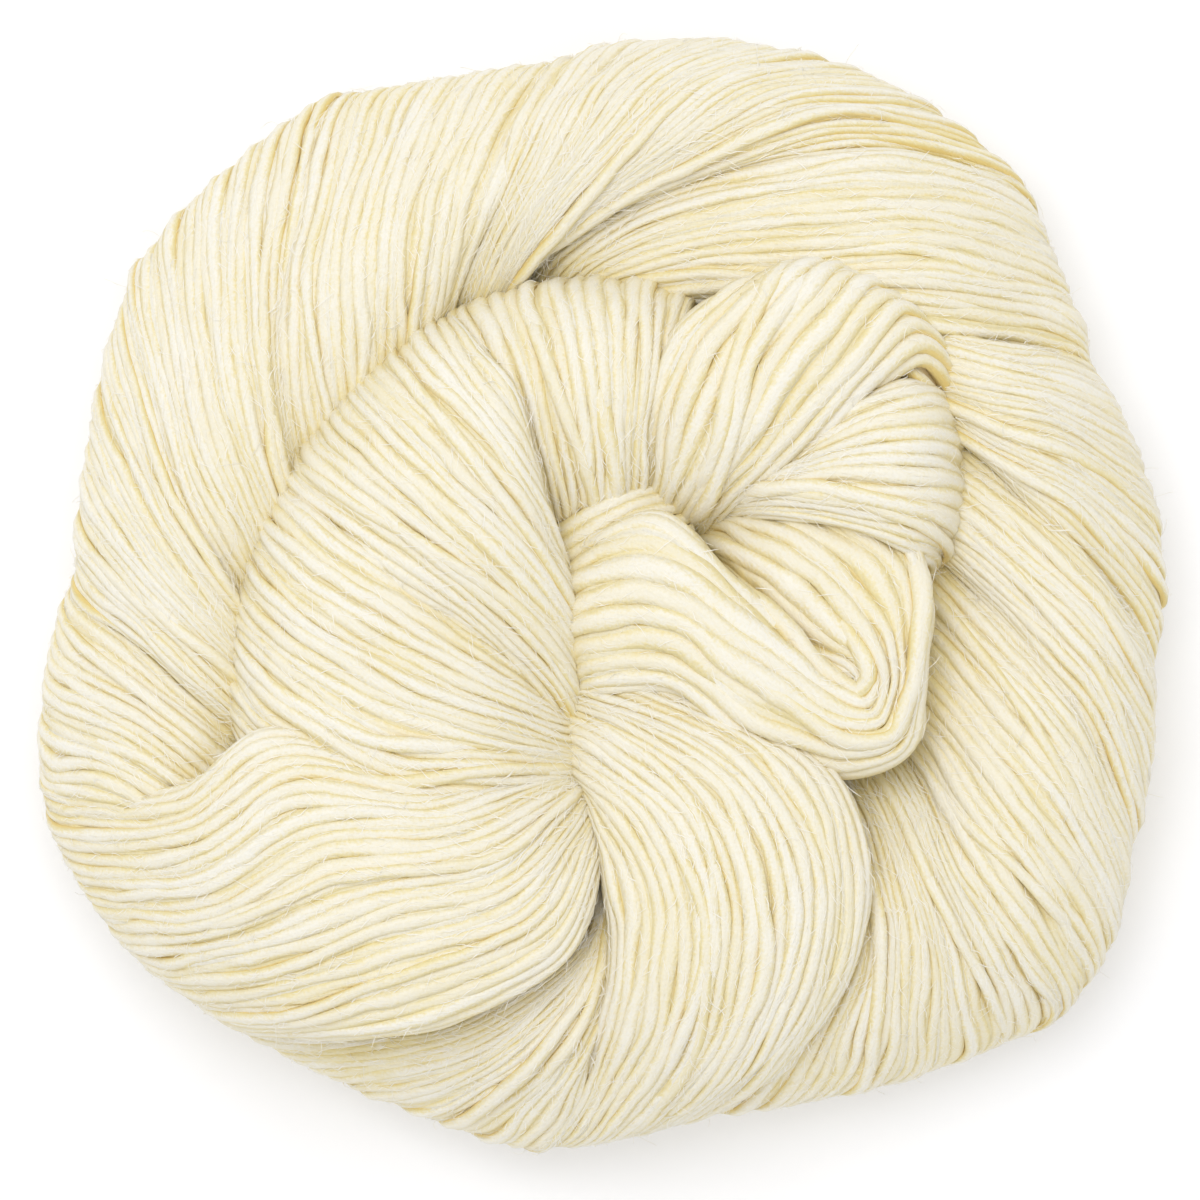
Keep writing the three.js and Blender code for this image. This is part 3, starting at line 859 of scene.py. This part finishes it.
# %% Close the middle
MIDDLE_HALF = (0.042, 0.040, 0.0045)  # half its width, depth and height, metres
MIDDLE_PLACE = (0.002, 0.002, 0.016)
bpy.ops.object.select_all(action="DESELECT")
bpy.ops.mesh.primitive_uv_sphere_add(segments=48, ring_count=24, radius=1, location=(0, 0, 0))
middle = bpy.context.object
middle.name = "packed_middle"
middle.scale = MIDDLE_HALF
middle.location = MIDDLE_PLACE
bpy.ops.object.transform_apply(location=True, rotation=False, scale=True)
bpy.ops.object.shade_smooth()
print("packed middle:", [round(size, 4) for size in middle.dimensions], "m")

# %% [markdown]
# ## Loose fibres
#
# Wool isn't smooth. Fine fibres bridge the creases between the strands, in the gaps between the folds
# longer ones curl about, and all over the hank a few stand off as a halo. A real fibre is about 0.03 mm
# thick, and there are far too many to lay them all. So these are fewer and about three times as thick.
# A flat ribbon that lies along a strand and drifts aside is enough for the first kind. The curly ones
# are thin three-sided tubes.

# %% Where fibres may start
END_RINGS = 6  # no fibre starts on the last rings of a strand
STARTS = 0.8  # nor past this share of its length
RING_VALUES = ("middle", "outward", "sideways", "half_deep", "half_wide", "painted_shade")

rings = {
    name: np.concatenate([getattr(strand, name) for strand in all_strands]) for name in RING_VALUES
}
rings["free"] = np.concatenate([
    (np.arange(len(strand.length)) < len(strand.length) - END_RINGS)
    & (strand.length < strand.length[-1] * STARTS)
    for strand in all_strands
])
print("rings where a fibre may start:", int(rings["free"].sum()))

# %% Fibres that lie on the strands
LYING_COUNT = 26000
LYING_DRIFT = (1.2, 0.2)  # how far a fibre drifts aside along its way, and at each point, millimetres
LYING_LIFT = (0.03, 0.3)  # how far it lies off the strand, and how much further at most, millimetres
LYING_ROUND = (1.05, 1.6, 0.2)  # the strand's round top that it follows: height, half width, lowest
LYING_HALF = 0.05  # half its width, millimetres
LYING_THICKNESS = (0.6, 1.3)  # how much thinner or thicker than usual one fibre is
LYING_TAPER = np.array([0.5, 1, 0.4])  # its width at start, middle and end


def lying_fibres(name, rings, count):
    """Ribbons that start on a strand, run along it and drift to its neighbour."""
    points_each = len(LYING_TAPER)
    starts = rng.choice(np.flatnonzero(rings["free"]), count)
    place = starts[:, None] + np.arange(points_each)
    travel = np.linspace(0, 1, points_each)
    drift, jitter = LYING_DRIFT
    aside = rng.uniform(-1, 1, (count, 1)) * rings["half_wide"][starts, None]
    aside = aside + rng.normal(0, drift, (count, 1)) * travel + rng.normal(0, jitter, place.shape)
    off, more = LYING_LIFT
    lift = off + rng.uniform(0, more, (count, 1)) * np.sin(np.pi * travel)
    top, reach, lowest = LYING_ROUND
    height = rings["half_deep"][place] * np.sqrt(np.clip(top - (aside / reach) ** 2, lowest, 1)) + lift
    points = rings["middle"][place] + rings["sideways"][place] * aside[:, :, None]
    points = points + rings["outward"][place] * height[:, :, None]
    ahead = unit(np.gradient(points, axis=1))
    width = LYING_HALF * rng.uniform(*LYING_THICKNESS, (count, 1)) * LYING_TAPER
    edge = unit(np.cross(ahead, rings["outward"][place])) * width[:, :, None]
    corners = np.stack([points - edge, points + edge], axis=2).reshape(-1, 3)
    step = np.arange(points_each - 1)[:, None]
    strip = 2 * step + np.array([0, 1, 3, 2])
    faces = (2 * points_each * np.arange(count)[:, None, None] + strip).reshape(-1, 4).tolist()
    across = np.tile([0, 1, 1, 0], len(step))
    along = ((step + np.array([0, 0, 1, 1])) / len(step)).ravel()
    return new_piece(name, corners, faces, {"OFBake": cell_places(count, across, along)}, {})


lying = lying_fibres("lying_fibres", rings, LYING_COUNT)

# %% Fibres that curl in the gaps
CURL_HALF = 0.042  # half the thickness of a curly fibre, millimetres
CURL_STEP = 0.45  # length of one step of it, millimetres
CURL_SPREAD = (0.6, 1.3)  # how much shorter or longer than usual its steps are
CURL_TURN = (0.3, 1.0)  # which share of the largest turn it makes at each step
CURL_START = 0.8  # where it leaves its strand, as a share of the strand's half depth
CURL_AIM = (0.6, 0.6)  # how much it sets out straight off the strand, and how much to any side
CURL_JITTER = (0.08, 0.1)  # how much its way and its axis change at random at each step
CURL_CORNERS = ((1, 0), (-0.5, 0.87), (-0.5, -0.87))  # of its three-sided section
CURL_LOWEST = 0.1  # above the floor, millimetres


def turned_about(vectors, axes, angles):
    """Vectors turned about their own axes."""
    cosine, sine = np.cos(angles)[:, None], np.sin(angles)[:, None]
    along = (vectors * axes).sum(1, keepdims=True) * axes
    return vectors * cosine + np.cross(axes, vectors) * sine + along * (1 - cosine)


def curly_fibres(name, rings, starts, steps, curl):
    """Thin three-sided tubes that leave a strand and curl through the air, up to `curl` at a step."""
    count = len(starts)
    outward = rings["outward"][starts]
    points = rings["middle"][starts] + outward * CURL_START * rings["half_deep"][starts, None]
    straight, scatter = CURL_AIM
    ahead = unit(outward * straight + rng.normal(0, scatter, (count, 3)))
    axes = unit(rng.normal(0, 1, (count, 3)))
    turns = rng.uniform(*CURL_TURN, count) * curl
    size = CURL_STEP * rng.uniform(*CURL_SPREAD, count)[:, None]
    path, across = [], []
    for _ in range(steps + 1):
        path.append(points)
        first = unit(np.cross(ahead, axes) + 1e-6)
        second = np.cross(ahead, first)
        across.append(np.stack([x * first + y * second for x, y in CURL_CORNERS], 1))
        points = points + ahead * size
        way_jitter, axis_jitter = CURL_JITTER
        ahead = unit(turned_about(ahead, axes, turns) + rng.normal(0, way_jitter, (count, 3)))
        axes = unit(axes + rng.normal(0, axis_jitter, (count, 3)))
    path, across = np.stack(path, 1), np.stack(across, 1)
    path[:, :, 2] = np.maximum(path[:, :, 2], CURL_LOWEST)
    corners = (path[:, :, None, :] + across * CURL_HALF).reshape(-1, 3)
    sides = len(CURL_CORNERS)
    quads, ends, around, along = closed_tube(steps + 1, sides)
    firsts = sides * (steps + 1) * np.arange(count)[:, None, None]
    faces = (firsts + quads).reshape(-1, 4).tolist() + (firsts + ends).reshape(-1, sides).tolist()
    places = np.split(cell_places(count, around, along / steps), [quads.size], axis=1)
    bake = np.vstack([part.reshape(-1, 2) for part in places])
    return new_piece(name, corners, faces, {"OFBake": bake}, {})


# %% Lay the curly fibres
GAP_COUNT, GAP_STEPS, GAP_CURL = 760, 13, 0.8  # long fibres in the gaps, largest turn in radians
HALO_COUNT, HALO_STEPS, HALO_CURL = 700, 7, 0.5  # short ones all over the hank
GAP_DEPTH = 0.55  # how much painted shade a place in the gaps has at least

in_gaps = np.flatnonzero(rings["free"] & (rings["painted_shade"] > GAP_DEPTH))
print("places in the gaps:", len(in_gaps))
gap_starts = rng.choice(in_gaps, GAP_COUNT)
gap_curls = curly_fibres("gap_fibres", rings, gap_starts, GAP_STEPS, GAP_CURL)
halo_starts = rng.choice(np.flatnonzero(rings["free"]), HALO_COUNT)
halo = curly_fibres("halo_fibres", rings, halo_starts, HALO_STEPS, HALO_CURL)

# %% [markdown]
# ## The wool
#
# Undyed wool is creamy white where light falls on it, and golden tan in the creases, where light has
# passed through many fibres. That golden tan is painted into the colour as shade: the strands' own map
# says how far round a strand a point lies, so the painted crease shade follows the creases in any light.
# Fibres run along a strand with a slight twist: a noise that is drawn out along the strand gives fine
# streaks, in colour and as a shallow bump.
#
# Shader maths is written as Python sums. The class Number stands for the number that a node gives, and
# each sum adds a Math node. Any other node comes from the method `node` of the class Finish.

# %% Sums of node values
class Number:
    """The output of a node, which can be used in sums."""

    def __init__(self, finish, socket):
        self.finish, self.socket = finish, socket

    def combined(self, operation, *values):
        return self.finish.node("Math", {"operation": operation}, dict(enumerate(values)))

    def __add__(self, other):
        return self.combined("ADD", self, other)

    def __sub__(self, other):
        return self.combined("SUBTRACT", self, other)

    def __mul__(self, other):
        return self.combined("MULTIPLY", self, other)

    def __abs__(self):
        return self.combined("ABSOLUTE", self)


# %% A material built node by node
TIP_WHITE = (1.0, 0.97, 0.88, 1.0)  # the sheen of the fibres' tips


class Finish:
    """A material that is built up node by node."""

    def __init__(self, name):
        self.material = bpy.data.materials.new(name)
        self.material.use_nodes = True
        self.tree = self.material.node_tree
        self.tree.nodes.clear()
        self.output = self.tree.nodes.new("ShaderNodeOutputMaterial")

    def node(self, kind, settings=None, values=None, output=0):
        """Adds a node: its settings first, then the values or links of its sockets."""
        node = self.tree.nodes.new("ShaderNode" + kind)
        for name, setting in (settings or {}).items():
            setattr(node, name, setting)
        for key, value in (values or {}).items():
            if isinstance(value, Number):
                self.tree.links.new(value.socket, node.inputs[key])
            else:
                node.inputs[key].default_value = value
        return Number(self, node.outputs[output])

    def step(self, value, start, end, low=0.0, high=1.0):
        """A soft step of a value from low at start to high at end."""
        sockets = {0: value, 1: start, 2: end, 3: low, 4: high}
        return self.node("MapRange", {"interpolation_type": "SMOOTHSTEP"}, sockets)

    def blend(self, share, first, second):
        """A colour between two others."""
        return self.node("Mix", {"data_type": "RGBA"}, {0: share, 6: first, 7: second}, 2)

    def noise(self, vector, scale, detail):
        """Soft random values from 0 to 1."""
        return self.node("TexNoise", {}, {"Vector": vector, "Scale": scale, "Detail": detail})

    def wool_surface(self, colour, normal=None):
        """The wool shader: rough, with a soft sheen from the fibres' tips."""
        sockets = {
            "Base Color": colour,
            "Roughness": 0.9,
            "Specular IOR Level": 0.25,
            "Sheen Weight": 0.25,
            "Sheen Roughness": 0.6,
            "Sheen Tint": TIP_WHITE,
        }
        if normal:
            sockets["Normal"] = normal
        surface = self.node("BsdfPrincipled", {}, sockets)
        self.tree.links.new(surface.socket, self.output.inputs["Surface"])
        return self.material


# %% Places and patterns on a strand
GIRTH = 6.4  # length round a strand, millimetres
STREAK = (0.3, 2.5, 0.5)  # width and length of a streak in millimetres, and its twist
BLOTCHES, FUZZ = 70.0, 2200.0  # how many spots of colour, and of fuzz, lie on a metre
OBJECT_PLACE = 3  # which output of the node for coordinates gives the place on the object
VALUE = 2  # which output of the node for attributes gives a number

wool = Finish("strand wool")
place = wool.node("UVMap", {"uv_map": "strand"})
around_number = wool.node("SeparateXYZ", {}, {0: place}, 0)
along = wool.node("SeparateXYZ", {}, {0: place}, 1)
around = wool.node("Math", {"operation": "FRACT"}, {0: around_number})
streak_width, streak_length, twist = STREAK
fibre_place = wool.node("CombineXYZ", {}, {
    0: around_number * (GIRTH / streak_width) + along * twist,
    1: along * (1 / streak_length),
    2: 0.0,
})
streaks = wool.noise(fibre_place, 1.0, 3.0)
where = wool.node("TexCoord", {}, {}, OBJECT_PLACE)
blotches = wool.noise(where, BLOTCHES, 2.0)
fuzz = wool.noise(where, FUZZ, 2.0)
print("nodes for the patterns:", len(wool.tree.nodes))

# %% Strand wool
LIGHT_WOOL = (0.925, 0.90, 0.82, 1)
WARM_WOOL = (0.90, 0.85, 0.70, 1)
# Painted shade: the golden tan of the creases and the deep gold at their bottom stand in for wool in shade.
PAINTED_CREASE_SHADE = (0.855, 0.745, 0.40, 1)
PAINTED_DEEP_SHADE = (0.80, 0.60, 0.18, 1)
RAGGED = 0.12  # how far the fibres make the edge of a crease ragged, as a share of the girth
STRETCHES = 0.09  # how many stretches of paler and deeper painted crease shade lie on a millimetre of a crease
RELIEF = 0.0003  # height of the bumps, metres
# Soft steps, each from a start to an end, and from a low to a high value where they aren't 0 and 1:
CREASE = (0.02, 0.19)  # where the painted crease shade begins and is full, over the distance from the strand's top line, as a share of its girth
STRETCH = (0.35, 0.62, 0.35, 0.85)  # from stretches of pale to deeper painted crease shade
WARMTH = (0.45, 1.0)  # from light to warm wool
TINT = (0.15, 1.2)  # from the face's colour to the painted crease shade
DEEPEST = (0.15, 0.25, 0.0, 0.75)  # to the painted deep gold shade at the bottom of a crease

ragged = (streaks + fuzz - 1) * RAGGED
# Painted crease shade: 0 on the strand's top line and 1 down its flanks, with edges made ragged by the
# fibres.
crease = wool.step(abs(around - 0.5) + ragged, *CREASE)
stretch = wool.node("CombineXYZ", {}, {0: around_number * 0.5, 1: along * STRETCHES, 2: 0.0})
depth = wool.step(wool.noise(stretch, 1.0, 1.0), *STRETCH)
painted_shade = wool.node("Attribute", {"attribute_name": "painted_shade"}, {}, VALUE)
tone = wool.node("Attribute", {"attribute_name": "tone"}, {}, VALUE)
warmth = wool.step(blotches * 0.4 + streaks * 0.5 + fuzz * 0.35 + tone * 0.3, *WARMTH)
face_colour = wool.blend(warmth, LIGHT_WOOL, WARM_WOOL)
# The face colour is painted golden as shade in the creases and where a strand's painted shade value is
# high, and deep gold at the bottom of a crease.
tint = wool.step(crease * depth + painted_shade + fuzz * 0.35 + blotches * 0.2, *TINT)
deepest = wool.step(abs(around - 0.5) + ragged * 0.5 + painted_shade * 0.08, *DEEPEST)
colour = wool.blend(deepest, wool.blend(tint, face_colour, PAINTED_CREASE_SHADE), PAINTED_DEEP_SHADE)
relief = wool.node(
    "Bump", {}, {"Strength": 0.8, "Distance": RELIEF, "Height": streaks * 0.7 + fuzz * 0.5}
)
strand_wool = wool.wool_surface(colour, relief)
print("nodes of the strand wool:", len(wool.tree.nodes))

# %% Packed wool and loose fibres
def blended_wool(name, scale, detail, first, second):
    """Plain wool whose colour changes softly between two tones."""
    finish = Finish(name)
    where = finish.node("TexCoord", {}, {}, OBJECT_PLACE)
    return finish.wool_surface(finish.blend(finish.noise(where, scale, detail), first, second))


# Painted shade: the packed wool is golden tan and darker than the strands, as the inside of the hank looks
# in shade; it changes softly between the two tones.
PACKED_SHADE_PALE, PACKED_SHADE_DEEP = (0.86, 0.74, 0.48, 1), (0.76, 0.62, 0.36, 1)
FIBRE_WHITE = (0.98, 0.95, 0.88, 1)
packed_shade_wool = blended_wool("packed wool in shade", 500.0, 3.0, PACKED_SHADE_PALE, PACKED_SHADE_DEEP)
loose_fibre = blended_wool("loose fibre", 90.0, 1.0, FIBRE_WHITE, LIGHT_WOOL)
print("materials:", strand_wool.name, "/", packed_shade_wool.name, "/", loose_fibre.name)

# %% Give the pieces their wool
for piece in (*strand_pieces, under_layer, underside):
    piece.data.materials.append(strand_wool)
for piece in (bodies, middle):
    piece.data.materials.append(packed_shade_wool)
for piece in (lying, gap_curls, halo):
    piece.data.materials.append(loose_fibre)

# %% [markdown]
# ## Handing the pieces to the frame
#
# The hank is one body, so every piece rides on its root. The strands stand for the construction
# model's solid, which stays hidden for collision.

# %% Ride on the hank
dressing = (*strand_pieces, under_layer, underside, bodies, middle, lying, gap_curls, halo)
for piece in dressing:
    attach(piece, "root")
for piece in (*strand_pieces, under_layer, underside):
    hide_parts("hank")
print("pieces on the hank:", len(dressing))

# %% [markdown]
# ## Floor and light
#
# The photograph is lit from all round, with almost no shadow on a white ground. A bright sky does most
# of it, and one large soft lamp above gives the strands a little shape.

# %% Floor
FLOOR_SIZE = 12  # metres
FLOOR_DROP = 0.2 * MM  # how far it lies below the hank's resting face
GROUND = (0.78, 0.78, 0.8, 1)
GROUND_GLOW = 0.22  # lifts it to the photograph's white

bpy.ops.object.select_all(action="DESELECT")
bpy.ops.mesh.primitive_plane_add(size=FLOOR_SIZE, location=(0, 0, -FLOOR_DROP))
floor = bpy.context.object
floor.name = "floor"
ground = Finish("pale ground")
ground_surface = ground.node("BsdfPrincipled", {}, {
    "Base Color": GROUND,
    "Roughness": 0.9,
    "Emission Color": (1, 1, 1, 1),
    "Emission Strength": GROUND_GLOW,
})
ground.tree.links.new(ground_surface.socket, ground.output.inputs["Surface"])
floor.data.materials.append(ground.material)
print("floor:", FLOOR_SIZE, "m wide")

# %% Light
SKY_STRENGTH = 0.78
LAMP_POWER = 11.0  # watts
LAMP_SIZE = 1.0  # metres
LAMP_PLACE = (-0.25, 0.45, 1.7)  # it shines from there to the middle of the hank

scene = bpy.context.scene
scene.view_settings.view_transform = "Standard"
world = bpy.data.worlds.new("studio")
world.use_nodes = True
sky = world.node_tree.nodes["Background"]
sky.inputs["Color"].default_value = (1, 1, 1, 1)
sky.inputs["Strength"].default_value = SKY_STRENGTH
scene.world = world
lamp_data = bpy.data.lights.new("soft lamp", "AREA")
lamp_data.size = LAMP_SIZE
lamp_data.energy = LAMP_POWER
lamp = bpy.data.objects.new("soft lamp", lamp_data)
lamp.location = LAMP_PLACE
lamp.rotation_euler = (-lamp.location).to_track_quat("-Z", "Y").to_euler()
bpy.context.collection.objects.link(lamp)
print("lamp:", lamp_data.energy, "W over", lamp_data.size, "m")
